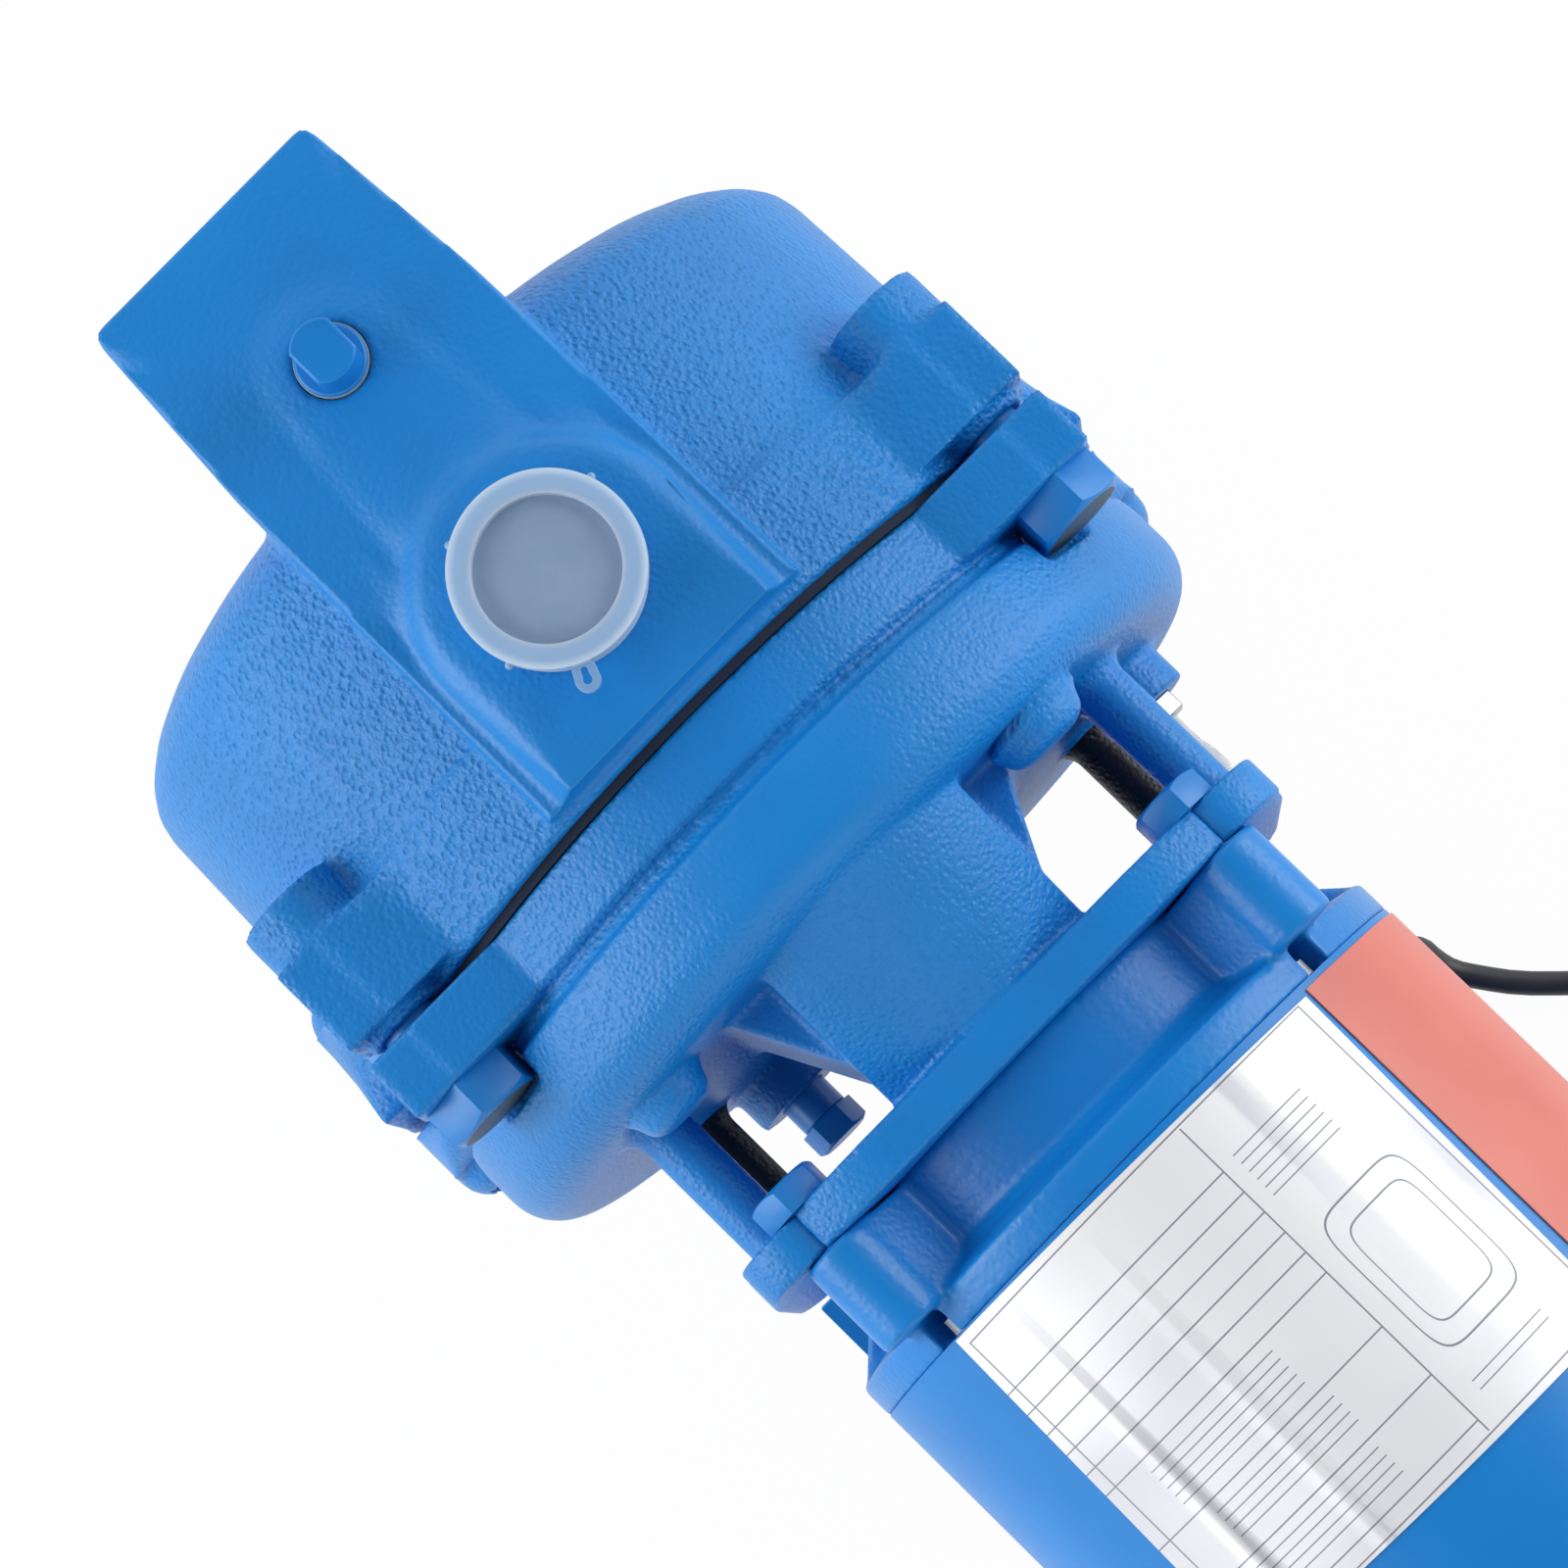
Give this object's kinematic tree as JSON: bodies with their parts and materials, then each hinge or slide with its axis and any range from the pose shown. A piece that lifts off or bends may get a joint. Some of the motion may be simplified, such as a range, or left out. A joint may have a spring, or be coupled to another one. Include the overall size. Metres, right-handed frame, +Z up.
{
  "type": "shallow well jet pump",
  "caption": "Cast pump casing with a jet box and discharge port, an open bracket and a motor on a steel foot, with a pressure switch and a coiled power cord.",
  "frame": {"origin": "on the floor plane, at the middle of the four base holes", "axes": "+X along the shaft from the suction end to the motor, +Y across the shaft to the side where the cord leaves, +Z up"},
  "size_m": [0.463, 0.269, 0.2272],
  "materials": {
    "casing_enamel": "semi-gloss enamel over sand-cast iron",
    "bolt_enamel": "semi-gloss enamel over steel",
    "motor_enamel": "smooth semi-gloss enamel over rolled steel",
    "bell_enamel": "smooth semi-gloss enamel over cast aluminium",
    "cap_plastic": "moulded, satin",
    "black_rubber": "matte",
    "black_plastic": "moulded, satin",
    "grey_plastic": "moulded, matte",
    "ivory_plastic": "moulded, satin",
    "brass": "machined",
    "steel": "machined",
    "zinc_steel": "zinc plated",
    "lamination": "stacked steel laminations",
    "rotor_iron": "laminations with cast aluminium rings",
    "varnished_copper": "varnished windings",
    "ceramic": "lapped ceramic",
    "carbon": "lapped carbon",
    "clear_vinyl": "clear, gloss",
    "cord_jacket": "matte vinyl jacket",
    "label_metal": "satin foil",
    "label_orange": "printed film, satin"
  },
  "bodies": {
    "pump": {"pump_casing": "casing_enamel", "nozzle": "brass", "venturi": "black_plastic", "venturi_o_ring": "black_rubber", "diffuser": "grey_plastic", "diffuser_screws": "zinc_steel", "seal_seat": "ceramic", "casing_gasket": "black_rubber", "casing_bolts": "bolt_enamel", "motor_adapter": "casing_enamel", "motor_bolts": "bolt_enamel", "drain_nipple": "bolt_enamel", "sensing_fitting": "zinc_steel", "switch_tube": "clear_vinyl", "bearing_outer_rings": "steel", "wave_washer": "steel", "stator_core": "lamination", "windings": "varnished_copper", "front_end_bell": "bell_enamel", "motor_shell": "motor_enamel", "rear_end_bell": "bell_enamel", "through_bolts": "zinc_steel", "terminal_board": "grey_plastic", "nameplate": "label_metal", "side_label": "label_orange", "motor_foot": "bolt_enamel", "switch_body": "zinc_steel", "switch_diaphragm": "black_rubber", "switch_contacts": "black_plastic", "switch_cover": "black_plastic", "motor_lead": "cord_jacket", "lead_grommet": "black_rubber", "strain_relief": "black_rubber", "power_cord": "cord_jacket", "cord_coil": "cord_jacket", "cord_tie": "black_plastic", "cord_tail": "cord_jacket", "plug_body": "black_rubber", "plug_blades": "brass"},
    "rotor": {"shaft": "steel", "impeller": "ivory_plastic", "seal_ring": "carbon", "seal_spring": "steel", "slinger": "black_rubber", "bearing_inner_rings": "steel", "bearing_balls": "steel", "rotor_core": "rotor_iron", "cooling_fan": "black_plastic", "governor": "zinc_steel"},
    "governor_collar": {"governor_collar": "ivory_plastic"},
    "discharge_cap": {"discharge_cap": "cap_plastic"},
    "priming_plug": {"priming_plug": "bolt_enamel"},
    "drain_plug": {"drain_plug": "bolt_enamel"},
    "switch_plunger": {"switch_plunger": "steel", "switch_spring": "steel"},
    "switch_lever": {"switch_lever": "brass"},
    "rear_cover": {"rear_cover": "motor_enamel", "cover_screws": "zinc_steel"}
  },
  "joints": [
    {"name": "rotor_spin", "type": "hinge", "parent": "pump", "child": "rotor", "pos_m": [0, 0, 0.118], "axis": [1, 0, 0], "continuous": true},
    {"name": "governor_collar_slide", "type": "slide", "parent": "rotor", "child": "governor_collar", "axis": [1, 0, 0], "range_m": [0, 0.0025]},
    {"name": "discharge_cap_lift", "type": "slide", "parent": "pump", "child": "discharge_cap", "axis": [0, 0, 1], "range_m": [0, 0.04]},
    {"name": "priming_plug_lift", "type": "slide", "parent": "pump", "child": "priming_plug", "axis": [0, 0, 1], "range_m": [0, 0.02]},
    {"name": "drain_plug_out", "type": "slide", "parent": "pump", "child": "drain_plug", "axis": [1, 0, 0], "range_m": [0, 0.012]},
    {"name": "switch_plunger_push", "type": "slide", "parent": "pump", "child": "switch_plunger", "axis": [1, 0, 0], "range_m": [0, 0.0015], "stiffness_N_per_m": 1000, "springref_m": -0.001},
    {"name": "switch_lever_turn", "type": "hinge", "parent": "pump", "child": "switch_lever", "pos_m": [0.0541, 0.026, 0.031], "axis": [0, -1, 0], "range_deg": [0, 8.6]},
    {"name": "rear_cover_off", "type": "slide", "parent": "pump", "child": "rear_cover", "axis": [1, 0, 0], "range_m": [0, 0.06]}
  ],
  "couplings": [
    {"joint": "switch_lever_turn", "follows": "switch_plunger_push", "rad_per_m": 100}
  ]
}
